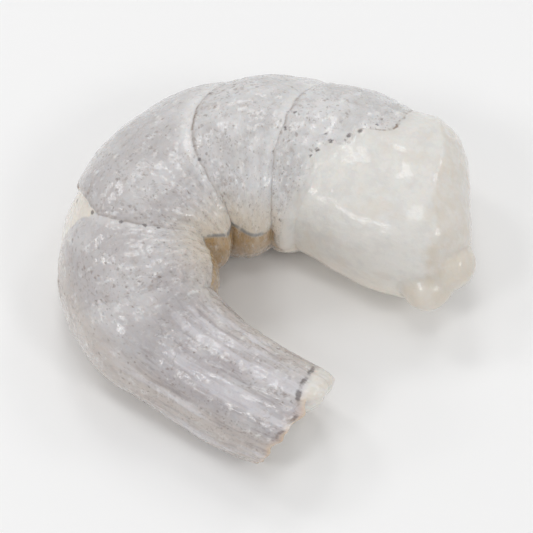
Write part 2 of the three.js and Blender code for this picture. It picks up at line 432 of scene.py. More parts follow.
def slit(station, angle):
    """The cut down the back, with its lips a little raised."""
    across = np.arctan2(np.sin(angle), np.cos(angle)) * height_at(station) / 2
    line = np.stack([station, 0 * station, 0 * station], axis=1)
    shake = ripples(line, SLIT_SHAKE_SIZE, SLIT_SHAKE_SEED)
    off = across - SLIT_WANDER * np.sin(station / SLIT_WAVE) - SLIT_SHAKE * shake
    opening = smoothstep(station, SLIT_START, SLIT_START + SLIT_FADE)
    closing = 1 - smoothstep(station, SLIT_END - SLIT_FADE, SLIT_END)
    lips = SLIT_LIP * bell((np.abs(off) - 2 * SLIT_WIDTH) / SLIT_WIDTH)
    cut = SLIT_DEPTH * (1 + SLIT_UNEVEN * shake) * bell(off / SLIT_WIDTH)
    return (cut - lips) * opening * closing


def neck_edge(angle):
    """The station of the first segment's cut edge, which is uneven."""
    edge = NECK_EDGE + NECK_EDGE_BACK * np.maximum(0, np.cos(angle)) ** 2
    return edge + uneven_round(angle, NECK_UNEVEN)


def neck_step(station, angle):
    edge = neck_edge(angle)
    depth = NECK_STEP * (1 + uneven_round(angle, NECK_STEP_UNEVEN))
    return depth * (1 - smoothstep(station, edge - NECK_STEP_WIDTH, edge))


def breast(station, angle):
    return BREAST_HEIGHT * bell((station - BREAST_AT) / BREAST_LENGTH) * np.maximum(0, -np.cos(angle))


def slant_at(distance, slope, reach):
    """How far an end leans, as a slope that fades along the body."""
    return slope * np.clip(1 - distance / reach, 0, 1) ** SLANT_FADE


def ball_grid():
    """A ball's grid of facets, with each vertex's row from the head's pole and its turn."""
    grid = bmesh.new()
    rows = sum(ROWS)
    bmesh.ops.create_uvsphere(grid, u_segments=AROUND, v_segments=rows, radius=1)
    ball = np.array([vert.co for vert in grid.verts])
    latitude = np.arctan2(ball[:, 2], np.hypot(ball[:, 0], ball[:, 1]))
    row = np.rint((0.5 - latitude / math.pi) * rows)
    turn = np.arctan2(ball[:, 1], ball[:, 0]) % TURN
    return grid, row, turn


def head_rows(share):
    """Stations and section shares of the rows where the head rounds off."""
    lift = (math.pi / 2) * share**HEAD_CROWDING
    station = HEAD_ROUND * (1 - np.cos(lift) ** (2 / HEAD_BLUNT))
    return station, np.sin(lift) ** (2 / HEAD_BLUNT)


def along_cut(cut, share):
    """Section shares and ways ahead at even steps along a line over the tail's cut."""
    shares, aheads = np.array(cut).T
    steps = np.hypot(np.diff(shares) * SOMITES[-1]["height"] / 2, np.diff(aheads))
    along = np.concatenate([[0], np.cumsum(steps)]) / steps.sum()
    return np.interp(share, along, shares), np.interp(share, along, aheads)


def plug_share(angle):
    """How much of the plug there is: 1 in its middle, 0 away from it."""
    off = np.degrees(folded(angle - math.radians(PLUG_ANGLE)))
    return 1 - smoothstep(off, PLUG_WHOLE, PLUG_END)


def tail_rows(share, angle):
    """Section shares and ways ahead of the rows over the tail's cut."""
    plug = plug_share(angle)
    open_cut, open_ahead = along_cut(TAIL_CUT, share)
    full_cut, full_ahead = along_cut(PLUG_CUT, share)
    return open_cut + plug * (full_cut - open_cut), open_ahead + plug * (full_ahead - open_ahead)


def arc_distance(station, angle):
    """How far on the belly's side of the flank's scalloped edge, in millimetres."""
    creases = belly_creases()
    scallops = arch(station, [creases[0] - FIRST_SCALLOP, *creases]) ** SCALLOP_BLUNT - 0.5
    edge = np.interp(station, *np.array(FLANK_EDGE).T) + SCALLOP * scallops
    edge = edge - LOWER_EDGE * smoothstep(-np.sin(angle), *LOWER_FLANK)
    return np.radians(np.degrees(folded(angle)) - edge) * height_at(station) / 2


def cap_distance(station, angle):
    """How far the ragged edge of the first segment is behind, in millimetres."""
    angles, stations = np.array(CAP_EDGE).T
    edge = np.interp(np.degrees(folded(angle)), angles, stations)
    return edge + uneven_round(angle, CAP_RAGGED) - station


class Skin:
    """Where each vertex of the grid lies on the body, and what the skin is like there."""

    def __init__(self, row, turn):
        self.angle = turn - BACK_CROWDING * np.sin(turn)
        self.joints = [
            joint_at(somite, self.angle) + wobble(self.angle, index)
            for index, somite in enumerate(JOINTED)
        ]
        drawn = plug_share(self.angle) * (PLUG_CUT[0][1] - TAIL_CUT[0][1])
        self.skin_end = LENGTH + TAIL_CUT[0][1] + drawn
        self.station = np.zeros_like(row)
        self.section = np.ones_like(row)
        self.ahead = np.zeros_like(row)
        self.tail_cut = np.zeros_like(row)
        self.lay_rows(row)
        self.shape()

    def lay_rows(self, row):
        """Gives every row its station, so that rows run along the joints."""
        ends = [np.full_like(row, HEAD_ROUND), *self.joints, self.skin_end]
        first = 0
        for stretch, count in enumerate(ROWS):
            here = (row >= first) & (row <= first + count)
            share = (row[here] - first) / count
            if stretch == 0:
                self.station[here], self.section[here] = head_rows(share)
            elif stretch == len(ROWS) - 1:
                self.section[here], ahead = tail_rows(share, self.angle[here])
                self.station[here] = self.skin_end[here]
                self.ahead[here] = LENGTH + ahead - self.skin_end[here]
                self.tail_cut[here] = share
            else:
                eased = share - JOINT_CROWDING * np.sin(TURN * share) / TURN
                start, end = ends[stretch - 1][here], ends[stretch][here]
                self.station[here] = start + eased * (end - start)
            first += count

    def relief(self):
        """How far the skin stands out of the plain section."""
        station, angle = self.station, self.angle
        swell = SWELL * (arch(station, [0, *self.joints, LENGTH]) - 1)
        raised = swell + belly_ridges(station, angle) + breast(station, angle)
        sunk = joint_steps(station, angle, self.joints) + slit(station, angle)
        sunk += neck_step(station, angle)
        under = smoothstep(arc_distance(station, angle), *FLAP_WIDTH)
        return raised - sunk - FLAP * under * smoothstep(station, *FLAP_START)

    def shape(self):
        """Works out each vertex's place."""
        from_tail = np.maximum(0, LENGTH - self.station - self.ahead)
        half = height_at(self.station) / 2
        grown = self.section * (1 + self.relief() / half)
        self.arc = np.arctan2(np.sin(self.angle), np.cos(self.angle)) * half
        self.out = signed_power(np.cos(self.angle), SHOULDER) * half * grown
        self.up = signed_power(np.sin(self.angle), SHOULDER) * half * WIDTH_RATIO * grown
        slant = slant_at(self.station, math.tan(math.radians(HEAD_SLANT)), HEAD_SLANT_REACH)
        slant += slant_at(from_tail, math.tan(math.radians(TAIL_SLANT)), TAIL_SLANT_REACH)
        slant_up = slant_at(from_tail, TAIL_LEAN, TAIL_SLANT_REACH)
        ragged = uneven_round(self.angle, TAIL_RAGGED)
        ragged *= smoothstep(self.section, *TAIL_RAGGED_SECTION)
        ragged *= smoothstep(self.station + self.ahead, LENGTH - TAIL_RAGGED_REACH, LENGTH)
        ahead = self.ahead + slant * self.out + slant_up * self.up + ragged
        self.points = placed(self.station, self.out, self.up, ahead)


def pull_over(points, lobe):
    """Moves the points inside a lobe out to its surface, along rays from its root, and
    gives how much each point belongs to the lobe."""
    station = np.zeros(1)
    ahead, out, up = lobe["at"]
    centre = placed(station, out, up, ahead)[0]
    axes = np.array([
        placed(station, out, up, ahead + 1)[0] - centre,
        placed(station, out + 1, up, ahead)[0] - centre,
        (0, 0, 1),
    ])
    size = np.array(lobe["size"])
    root = np.array(lobe["root"])
    local = (points - centre) @ axes.T / size
    off = np.linalg.norm(local, axis=1)
    inside = off < 1
    ray = local[inside] - root
    a = (ray**2).sum(axis=1)
    b = ray @ root
    c = root @ root - 1
    reach = (-b + np.sqrt(b * b - a * c)) / a
    points[inside] = (root + reach[:, None] * ray) * size @ axes + centre
    return 1 - smoothstep(off, *LOBE_FADE)


def pebbles(skin, points):
    """Small round bumps, higher in the patches where the wet skin is pebbled."""
    patches = np.zeros_like(skin.station)
    for at, turned, reach in PEBBLE_PATCHES:
        across = folded(skin.angle - math.radians(turned)) * MEAN_RADIUS
        patches += bell(np.hypot(skin.station - at, across) / reach)
    rough = np.minimum(patches, 1) + np.maximum(0, uneven(points, PEBBLED_BESIDE))
    return sum(
        bumps(points + shift, size) * (height + added * rough)
        for size, height, added, shift in PEBBLES
    )


def striations(skin):
    """Ridges along the tail, a little bent."""
    across = np.stack([skin.station, skin.out, skin.up], axis=1)
    lengthwise = across * (STRIATION_STRETCH, 1, 1) + uneven(across, STRIATION_BEND)[:, None]
    return smoothstep(skin.station, *STRIATION_START) * uneven(lengthwise, STRIATIONS)


def fibres(skin, points):
    """The fine roughness of the cut faces at both ends."""
    neck = smoothstep(neck_edge(skin.angle) - skin.station, *NECK_FIBRES)
    return np.maximum(neck, smoothstep(skin.tail_cut, *TAIL_FIBRES)) * uneven(points, FIBRES)


def pleats(skin):
    """Shallow folds beside the joints where the bend squeezes the lower flank."""
    depth = np.zeros_like(skin.station)
    inner = bell((np.degrees(folded(skin.angle)) - PLEAT_ANGLE) / PLEAT_SPREAD)
    for index in range(1, len(JOINTED)):
        start, end = skin.joints[index - 1], skin.joints[index]
        share = (skin.station - start) / (end - start)
        inside = (share > 0) & (share < 1)
        wave = np.cos(TURN * PLEATS * share) * np.sin(math.pi * np.clip(share, 0, 1))
        depth += np.where(inside, wave, 0) * (FIRST_PLEATS if index == 1 else 1)
    return PLEAT_HEIGHT * inner * depth


def fine_relief(skin, points):
    """How far the small forms stand out along the normals."""
    capped = smoothstep(cap_distance(skin.station, skin.angle), *CAP_CALM_EDGE)
    calm = 1 - CAP_CALM * capped
    skinned = calm * (uneven(points, LUMPS) + pebbles(skin, points))
    return skinned + striations(skin) + fibres(skin, points) + pleats(skin)


def settle(height):
    """Presses what is below the floor flat, with a soft edge."""
    return 0.5 * (height + np.sqrt(height * height + SETTLED_EDGE**2))


def centred(points):
    """The shift that puts the body over the floor as the frame's solid is."""
    low, high = points.min(axis=0), points.max(axis=0)
    cad_low, cad_high = (np.array(corner) / MM for corner in CAD_BOX)
    shift = (cad_low + cad_high - low - high) / 2
    shift[2] = cad_low[2] - SETTLED
    return shift


def smooth(grid, chosen, rounds):
    """Evens out the grid's chosen vertices."""
    verts = [grid.verts[index] for index in np.flatnonzero(chosen)]
    for _ in range(rounds):
        bmesh.ops.smooth_vert(
            grid, verts=verts, factor=0.5, use_axis_x=True, use_axis_y=True, use_axis_z=True
        )


def mesh_numbers(items, name):
    """The three numbers of each of a mesh's items, as an array of rows."""
    numbers = np.zeros(len(items) * 3)
    items.foreach_get(name, numbers)
    return numbers.reshape(-1, 3)


def build_body():
    """The whole tail as one closed mesh."""
    grid, row, turn = ball_grid()
    skin = Skin(row, turn)
    points = skin.points
    lobed = np.zeros(len(points))
    for lobe in LOBES:
        lobed = np.maximum(lobed, pull_over(points, lobe))
    points += centred(points)
    for vert, point in zip(grid.verts, points):
        vert.co = point
    grid.verts.ensure_lookup_table()
    smooth(grid, lobed > LOBE_SMOOTHED, LOBE_SMOOTHINGS)
    smooth(grid, skin.tail_cut > 0, TAIL_SMOOTHINGS)
    bmesh.ops.recalc_face_normals(grid, faces=grid.faces)
    mesh = bpy.data.meshes.new("shrimp_flesh")
    grid.to_mesh(mesh)
    grid.free()

    points = mesh_numbers(mesh.vertices, "co")
    points += mesh_numbers(mesh.vertex_normals, "vector") * fine_relief(skin, points)[:, None]
    points[:, 2] = settle(points[:, 2])
    points[:, 2] -= points[:, 2].min()
    mesh.vertices.foreach_set("co", (points * MM).ravel())
    mesh.update()
    for name, values in skin_facts(skin, lobed).items():
        set_attribute(mesh, name, values)
    mesh.shade_smooth()
    body = bpy.data.objects.new("shrimp_flesh", mesh)
    bpy.context.scene.collection.objects.link(body)
    return body


def set_attribute(mesh, name, values):
    kind = "FLOAT_VECTOR" if values.ndim == 2 else "FLOAT"
    slot = "vector" if values.ndim == 2 else "value"
    attribute = mesh.attributes.new(name, kind, "POINT")
    attribute.data.foreach_set(slot, values.astype(np.float32).ravel())


def mark_nearness(skin):
    """How near the nearest dark mark is: at most 1 in its middle, and 0 at twice its
    radius and beyond."""
    near = np.zeros_like(skin.station)
    for at, turned, radius in MARKS:
        across = folded(skin.angle - math.radians(turned)) * height_at(at) / 2
        distance = np.hypot(skin.station - at, across)
        near = np.maximum(near, 1 - distance / (2 * radius))
    inside = skin.skin_end - skin.station - skin.ahead
    for turned, length, width, depth in TAIL_MARKS:
        across = folded(skin.angle - math.radians(turned)) * height_at(LENGTH) / 2
        distance = np.hypot((inside - TAIL_MARK_INSET) / width, across / length)
        near = np.maximum(near, depth * (1 - distance / 2))
    return near


def seam_strength(skin):
    """How clearly the nearest joint's line shows."""
    distances = np.abs(np.array(skin.joints) - skin.station)
    strengths = np.array([somite["seam"] for somite in JOINTED])
    clear = strengths[distances.argmin(axis=0)]
    return clear * (1 - BELLY_SEAM_LOSS * smoothstep(-np.cos(skin.angle), *BELLY_SEAM))


def share_of_segment(skin):
    """How far from a segment's front joint to its rear one, 0 to 1."""
    station = skin.station
    lines = [np.zeros_like(station), *skin.joints, np.full_like(station, LENGTH)]
    share = np.zeros_like(station)
    for start, end in zip(lines[:-1], lines[1:]):
        inside = (station > start) & (station <= end)
        share[inside] = ((station - start) / (end - start))[inside]
    return share


def bared(skin):
    """How bare the flesh is between segments whose joint stands open on the back."""
    gap = np.zeros_like(skin.station)
    for somite, joint in zip(JOINTED, skin.joints):
        opened = openness(somite, skin.angle)
        behind = skin.station - joint
        started = smoothstep(opened, *GAP_OPEN) * smoothstep(behind, *GAP_FRONT)
        gap += started * smoothstep(opened - behind, *GAP_REAR)
    return gap


def skin_facts(skin, lobed):
    """What the colours need to know of each place: ways along and across the body, how
    far off its lines are, and how much it belongs to its cut faces, gaps and marks."""
    station, angle = skin.station, skin.angle
    along = station + skin.ahead
    plug = plug_share(angle)
    rim = bell((skin.tail_cut - RIM_AT) / RIM_WIDTH) * (skin.tail_cut > 0)
    face = smoothstep(skin.tail_cut, *BARE_FACE) + plug * smoothstep(skin.tail_cut, *PLUG_FACE)
    return {
        "place": np.stack([along, skin.out, skin.up], axis=1),
        "flat": np.stack([along, skin.arc, np.zeros_like(station)], axis=1),
        "joint": np.abs(np.array(skin.joints[1:]) - station).min(axis=0),
        "seam": seam_strength(skin),
        "share": share_of_segment(skin),
        "cap": cap_distance(station, angle),
        "gap": bared(skin),
        "mark": mark_nearness(skin),
        "arc": arc_distance(station, angle),
        "belly": -np.cos(angle),
        "pale": np.minimum(face, 1),
        "neck": neck_edge(angle) - station,
        "lobe": lobed,
        "edge": rim * (1 - plug),
    }


# Cloudy patches of colour: the feature size, detail and roughness of their noise, and
# the noise from which and up to which a patch comes in
CLOUDS = {
    "ground": (4.5, 4, 0.6, 0.35, 0.65),
    "haze": (7.0, 2, 0.5, 0.42, 0.62),
    "milk": (2.2, 5, 0.65, 0.42, 0.62),
    "cream": (3.4, 4, 0.6, 0.50, 0.66),
    "belly": (2.0, 4, 0.6, 0.3, 0.6),
    "mottle": (1.3, 5, 0.7, 0.50, 0.70),
    "fleck": (1.1, 4, 0.65, 0.54, 0.70),
    "speckle": (3.0, 3, 0.6, 0.42, 0.62),
    "streak": (0.9, 4, 0.65, 0.48, 0.70),
    "rib": (1.7, 3, 0.6, 0.50, 0.64),
    "vein": (1.7, 2, 0.5, 0.52, 0.62),
    "joint_dot": (0.9, 2, 0.5, 0.40, 0.60),
    "joint_line": (3.5, 2, 0.5, 0.35, 0.55),
    "cap_line": (1.3, 2, 0.5, 0.45, 0.6),
    "scallop_line": (2.2, 2, 0.5, 0.35, 0.5),
    "crease": (2.4, 3, 0.5, 0.35, 0.6),
    "fibre": (1.5, 5, 0.7, 0.40, 0.62),
    "lobe": (1.2, 3, 0.5, 0.3, 0.6),
    "wetness": (1.6, 3, 0.5, 0.3, 0.7),
}

# Ragged outlines of colour: the feature size, detail and roughness of their noise, and
# how much it moves a value in all, half of it either way
RAGGED = {
    "gap": (1.1, 4, 0.6, 0.9),
    "line": (0.9, 3, 0.5, 0.35),
    "neck": (0.9, 3, 0.5, 0.42),
    "mark": (0.5, 3, 0.5, 0.7),
}


class Nodes:
    """Adds shader nodes to one tree and links them."""

    # Where a Mix node has its factor, its two colours and its mixed colour
    FACTOR, UNDER, OVER, MIXED = 0, 6, 7, 2

    def __init__(self, tree):
        self.tree = tree

    def add(self, kind, inputs=None, **settings):
        node = self.tree.nodes.new(kind)
        for name, value in settings.items():
            setattr(node, name, value)
        for name, value in (inputs or {}).items():
            self.feed(node.inputs[name], value)
        return node

    def feed(self, socket, value):
        if isinstance(value, bpy.types.NodeSocket):
            self.tree.links.new(value, socket)
        else:
            socket.default_value = value

    def attribute(self, name, output="Fac"):
        return self.add("ShaderNodeAttribute", attribute_name=name).outputs[output]

    def math(self, operation, a, b=0.0, clamp=False):
        node = self.add("ShaderNodeMath", {0: a, 1: b}, operation=operation, use_clamp=clamp)
        return node.outputs[0]

    def plus(self, a, b):
        return self.math("ADD", a, b)

    def larger(self, a, b):
        return self.math("MAXIMUM", a, b)

    def times(self, *values):
        product = values[0]
        for value in values[1:]:
            product = self.math("MULTIPLY", product, value)
        return product

    def ramp(self, value, low, high, to_low=0.0, to_high=1.0):
        """to_low at low, to_high at high, and an even curve between them."""
        inputs = {"Value": value, "From Min": low, "From Max": high}
        inputs.update({"To Min": to_low, "To Max": to_high})
        node = self.add("ShaderNodeMapRange", inputs, interpolation_type="SMOOTHSTEP")
        return node.outputs["Result"]

    def stretched(self, vector, scale):
        node = self.add("ShaderNodeVectorMath", {0: vector, 1: scale}, operation="MULTIPLY")
        return node.outputs["Vector"]

    def noise(self, vector, size, detail, roughness):
        inputs = {"Vector": vector, "Scale": 1 / size, "Detail": detail, "Roughness": roughness}
        return self.add("ShaderNodeTexNoise", inputs).outputs["Fac"]

    def cloud(self, vector, name, least=0.0, most=1.0):
        """Cloudy patches, from the least between them to the most inside them."""
        size, detail, roughness, low, high = CLOUDS[name]
        return self.ramp(self.noise(vector, size, detail, roughness), low, high, least, most)

    def ragged(self, value, vector, name):
        """The value, moved up or down by noise."""
        size, detail, roughness, reach = RAGGED[name]
        off = self.math("SUBTRACT", self.noise(vector, size, detail, roughness), 0.5)
        return self.plus(value, self.times(off, reach))

    def shaken(self, vector, per_mm, detail, reach):
        """The vector, moved about by noise with that many features to a millimetre."""
        inputs = {"Vector": vector, "Scale": per_mm, "Detail": detail}
        push = self.stretched(self.add("ShaderNodeTexNoise", inputs).outputs["Color"], reach)
        node = self.add("ShaderNodeVectorMath", {0: vector, 1: push}, operation="ADD")
        return node.outputs["Vector"]

    def cells(self, vector, size, feature):
        inputs = {"Vector": vector, "Scale": 1 / size}
        return self.add("ShaderNodeTexVoronoi", inputs, feature=feature).outputs["Distance"]

    def mix(self, factor, under, over):
        inputs = {self.FACTOR: factor, self.UNDER: under, self.OVER: over}
        return self.add("ShaderNodeMix", inputs, data_type="RGBA").outputs[self.MIXED]


class Paint:
    """The flesh's colour, laid on in coats one over the other."""

    def __init__(self, nodes, colour):
        self.nodes = nodes
        self.colour = colour

    def lay(self, colour, *masks, thick=1.0):
        """Lays a colour on where all its masks are, that thick at most."""
        self.colour = self.nodes.mix(self.nodes.times(*masks, thick), self.colour, colour)


def shown(red, green, blue):
    """A colour as seen on a screen, 0 to 255, as the linear colour that shaders take."""
    shares = [channel / 255 for channel in (red, green, blue)]
    return (*[((c + 0.055) / 1.055) ** 2.4 if c > 0.04045 else c / 12.92 for c in shares], 1.0)


FLESH_PALE = shown(216, 215, 215)
FLESH_GREY = shown(196, 194, 193)
REAR_GREY = shown(182, 177, 177)
CAP_CREAM = shown(226, 224, 219)
CAP_GREY = shown(213, 211, 208)
CAP_TAN = shown(219, 211, 200)
# Painted light: a lighter cream for the first segment's shaded underside
CAP_UNDERSIDE_LIGHT = shown(240, 231, 216)
TAIL_GREY = shown(181, 176, 178)
# Warm tone of the lower flank, made lighter by painted light
FLANK_WARM_PAINTED_LIGHT = shown(223, 211, 192)
BACK_WARM = shown(196, 186, 177)
# The belly's own tan, made darker by painted shade
BELLY_TAN_AND_SHADE = shown(183, 152, 107)
# Painted warm shade for the side the body lies on
LOW_SIDE_SHADE = shown(196, 180, 163)
GAP_CREAM = shown(227, 220, 210)
MARK_DARK = shown(108, 101, 101)
ARC_BLUE = shown(122, 127, 131)
EDGE_ORANGE = shown(214, 178, 132)
# Brown of the speckles and veins, also used for the painted shade beside the joints
SPECKLE_AND_SHADE_BROWN = shown(124, 110, 102)
LINE_BROWN = shown(138, 121, 108)
STREAK_GREY = shown(134, 125, 127)
RIB_PALE = shown(216, 214, 218)
MOTTLE_BROWN = shown(168, 159, 154)
FLECK_WHITE = shown(234, 233, 232)
NECK_TAN = shown(221, 216, 209)
# Painted shade for the crease at the foot of the neck's step
CREASE_SHADE = shown(196, 182, 156)
FIBRE_TAN = shown(214, 206, 194)
LOBE_TAN = shown(216, 208, 195)

# Speckles in three sizes: the grid's cell in millimetres, a dot's radius as a share of
# it, how many cells have one, and how dark they are
SPECKLES = [(0.50, 0.36, 0.9, 0.36), (0.80, 0.32, 0.8, 0.48), (1.4, 0.16, 0.6, 0.6)]


def speckle_group():
    """Small dots, one in some of the cells of an uneven flat grid."""
    tree = bpy.data.node_groups.new("speckles", "ShaderNodeTree")
    tree.interface.new_socket("Place", in_out="INPUT", socket_type="NodeSocketVector")
    for name in ("Cell", "Dot", "Amount"):
        tree.interface.new_socket(name, in_out="INPUT", socket_type="NodeSocketFloat")
    tree.interface.new_socket("Mask", in_out="OUTPUT", socket_type="NodeSocketFloat")
    nodes = Nodes(tree)
    given = nodes.add("NodeGroupInput").outputs
    inputs = {"Vector": given["Place"], "Scale": nodes.math("DIVIDE", 1.0, given["Cell"])}
    voronoi = nodes.add("ShaderNodeTexVoronoi", inputs, voronoi_dimensions="2D").outputs
    draw = nodes.add("ShaderNodeSeparateColor", {"Color": voronoi["Color"]}).outputs
    radius = nodes.times(given["Dot"], nodes.ramp(draw["Green"], 0, 1, to_low=0.45))
    inner = nodes.times(radius, 0.5)
    dot = nodes.ramp(voronoi["Distance"], inner, radius, to_low=1.0, to_high=0.0)
    chosen = nodes.math("LESS_THAN", draw["Red"], given["Amount"])
    mask = nodes.times(dot, chosen, nodes.ramp(draw["Blue"], 0, 1, to_low=0.4))
    nodes.add("NodeGroupOutput", {"Mask": mask})
    return tree


def read_skin(nodes):
    """What the mesh tells of each place, and the masks that several coats use."""
    place = nodes.attribute("place", "Vector")
    along, out, up = nodes.add("ShaderNodeSeparateXYZ", {0: place}).outputs
    cap = nodes.ramp(nodes.attribute("cap"), -0.4, 0.5)
    pale = nodes.attribute("pale")
    gap = nodes.ramp(nodes.ragged(nodes.attribute("gap"), place, "gap"), 0.35, 0.75)
    neck = nodes.ragged(nodes.attribute("neck"), place, "neck")
    other = nodes.larger(cap, nodes.larger(gap, pale))
    return SimpleNamespace(
        place=place,
        flat=nodes.attribute("flat", "Vector"),
        along=along,
        out=out,
        up=up,
        share=nodes.attribute("share"),
        seam=nodes.attribute("seam"),
        arc=nodes.attribute("arc"),
        cap=cap,
        pale=pale,
        gap=gap,
        neck=neck,
        bare=nodes.ramp(neck, -0.5, 1.2),
        plain=nodes.math("SUBTRACT", 1.0, other, clamp=True),
    )


def paint_segments(nodes, skin, paint):
    """Greys that deepen towards the tail, a warm tone along the lower flank made lighter
    by painted light over the shade there, and pale behind each joint."""
    rear = nodes.ramp(skin.along, 20, 58)
    tail = nodes.ramp(skin.along, 56, 72)
    low_flank = nodes.ramp(skin.arc, -8.5, -1.0)
    before_tail = nodes.ramp(skin.along, 58, 66, to_low=0.7, to_high=0.25)
    behind_joint = nodes.ramp(skin.share, 0.18, 0.02)
    paint.lay(REAR_GREY, rear, thick=0.85)
    paint.lay(TAIL_GREY, tail, thick=0.7)
    paint.lay(FLESH_PALE, nodes.cloud(skin.place, "haze"), thick=0.35)
    # the lower flank's warm tone, lightened as painted light that lifts the shade there
    paint.lay(FLANK_WARM_PAINTED_LIGHT, low_flank, before_tail)
    paint.lay(FLECK_WHITE, behind_joint, skin.plain, skin.seam, thick=0.7)


def paint_cap(nodes, skin, paint):
    """The milky first segment."""
    milky = Paint(nodes, CAP_CREAM)
    milky.lay(CAP_GREY, nodes.cloud(skin.place, "milk"), thick=0.6)
    milky.lay(CAP_TAN, nodes.cloud(skin.place, "cream"), thick=0.5)
    soft_edge = nodes.ramp(nodes.attribute("cap"), -2.5, 2.0)
    paint.lay(milky.colour, soft_edge, thick=0.92)


def paint_underside(nodes, skin, paint):
    """The belly's tan with painted shade over it, painted warm shade on the flank that it lies on,
    lightened on the first segment by painted light, and the rear of the back.
    """
    belly = nodes.ramp(skin.arc, -0.2, 0.9)
    behind_cap = nodes.ramp(skin.cap, 1.0, 0.0, to_low=0.15)
    low = nodes.ramp(skin.up, 0.5, -5.0)
    back = nodes.ramp(nodes.attribute("belly"), -0.72, -0.96)
    rear = nodes.ramp(skin.along, 38, 60)
    # the belly's tan, darkened further by painted shade where the inner curl lies in shadow
    paint.lay(BELLY_TAN_AND_SHADE, belly, behind_cap, nodes.cloud(skin.place, "belly", least=0.6), thick=0.95)
    # painted warm shade on the side it lies on, and painted light that lightens the first segment's
    # underside
    paint.lay(nodes.mix(skin.cap, LOW_SIDE_SHADE, CAP_UNDERSIDE_LIGHT), low, thick=0.7)
    paint.lay(BACK_WARM, back, rear, skin.plain, thick=0.6)


def paint_mottling(nodes, skin, paint):
    """Brown mottles, white flecks and small dark speckles, denser towards the rear of
    each segment."""
    rear = nodes.ramp(skin.share, 0.05, 0.9, to_low=0.35)
    denser = nodes.ramp(rear, 0.2, 1.0, to_low=0.25, to_high=0.6)
    drawn_out = nodes.stretched(skin.flat, (1.0, 0.6, 1.0))
    paint.lay(MOTTLE_BROWN, nodes.cloud(skin.flat, "mottle"), skin.plain, denser)
    paint.lay(FLECK_WHITE, nodes.cloud(drawn_out, "fleck"), skin.plain, thick=0.55)
    amount = nodes.times(skin.plain, rear, nodes.cloud(skin.place, "speckle", least=0.25))
    group = speckle_group()
    spread = nodes.shaken(skin.flat, per_mm=1.6, detail=3.0, reach=(0.7, 0.7, 0.0))
    for cell, dot, density, depth in SPECKLES:
        inputs = {"Place": spread, "Cell": cell, "Dot": dot, "Amount": nodes.times(amount, density)}
        dots = nodes.add("ShaderNodeGroup", inputs, node_tree=group)
        paint.lay(SPECKLE_AND_SHADE_BROWN, dots.outputs["Mask"], thick=depth)


def paint_stripes(nodes, skin, paint):
    """Dark streaks and pale ribs along the tail, and a thin broken web of veins."""
    lengthwise = nodes.stretched(skin.place, (0.12, 1.0, 1.0))
    tail = nodes.times(nodes.ramp(skin.along, 60, 70), skin.plain)
    paint.lay(STREAK_GREY, nodes.cloud(lengthwise, "streak"), tail, thick=0.45)
    paint.lay(RIB_PALE, nodes.cloud(lengthwise, "rib"), tail, thick=0.55)
    wavy = nodes.shaken(skin.place, per_mm=0.9, detail=2.0, reach=(1.6, 1.6, 1.6))
    off_web = nodes.cells(wavy, size=3.2, feature="DISTANCE_TO_EDGE")
    web = nodes.ramp(off_web, 0.022, 0.004)
    paint.lay(SPECKLE_AND_SHADE_BROWN, web, nodes.cloud(skin.place, "vein"), skin.plain, thick=0.28)


def paint_lines(nodes, skin, paint):
    """Broken lines along the joints with painted shade beside each one, the ragged edge and the flank's
    scalloped edge.
    """
    off_joint = nodes.ragged(nodes.attribute("joint"), skin.place, "line")
    on_joint = nodes.ramp(off_joint, 0.42, 0.0)
    joint_shade = nodes.ramp(off_joint, 1.2, 0.1)
    seen = nodes.cloud(skin.place, "joint_line", least=0.35)
    dotted = nodes.cloud(skin.place, "joint_dot", least=0.15, most=0.85)
    paint.lay(LINE_BROWN, on_joint, seen, dotted, skin.seam)
    # a faint painted shade beside each joint, where its step lies in shadow
    paint.lay(SPECKLE_AND_SHADE_BROWN, joint_shade, skin.seam, thick=0.12)

    off_cap = nodes.math("ABSOLUTE", nodes.ragged(nodes.attribute("cap"), skin.place, "line"))
    on_cap_edge = nodes.ramp(off_cap, 0.30, 0.06)
    near_back = nodes.ramp(skin.along, 17, 14.5, to_low=0.1, to_high=0.9)
    paint.lay(LINE_BROWN, on_cap_edge, nodes.cloud(skin.place, "cap_line", least=0.15), near_back)

    on_scallops = nodes.ramp(nodes.math("ABSOLUTE", skin.arc), 0.60, 0.08)
    middle = nodes.times(nodes.ramp(skin.along, 24, 28), nodes.ramp(skin.along, 56, 50))
    upper = nodes.ramp(skin.up, -3.0, -0.5)
    broken = nodes.cloud(skin.place, "scallop_line")
    paint.lay(ARC_BLUE, on_scallops, broken, middle, upper, thick=0.75)


def paint_cuts(nodes, skin, paint):
    """Bare flesh in the open joint and on the cut faces, painted shade in the neck's
    crease, the lobes, the tail's thin edge, and the dark marks."""
    low_neck = nodes.ramp(skin.out, 2.0, -8.0, to_low=0.35)
    neck_crease_shade = nodes.times(nodes.ramp(skin.neck, -0.2, 0.5), nodes.ramp(skin.neck, 2.0, 0.5))
    cut_face = nodes.larger(skin.bare, skin.pale)
    marked = nodes.ragged(nodes.attribute("mark"), skin.place, "mark")
    paint.lay(GAP_CREAM, skin.gap, thick=0.9)
    paint.lay(CAP_CREAM, skin.pale, thick=0.9)
    paint.lay(NECK_TAN, skin.bare, low_neck, thick=0.8)
    # painted shade along the crease at the foot of the neck's step
    paint.lay(CREASE_SHADE, neck_crease_shade, low_neck, nodes.cloud(skin.place, "crease"), thick=0.4)
    paint.lay(FIBRE_TAN, cut_face, nodes.cloud(skin.place, "fibre"), thick=0.5)
    paint.lay(LOBE_TAN, nodes.attribute("lobe"), nodes.cloud(skin.place, "lobe", least=0.5), thick=0.75)
    paint.lay(EDGE_ORANGE, nodes.attribute("edge"), thick=0.6)
    paint.lay(MARK_DARK, nodes.ramp(marked, 0.25, 0.65), thick=0.8)


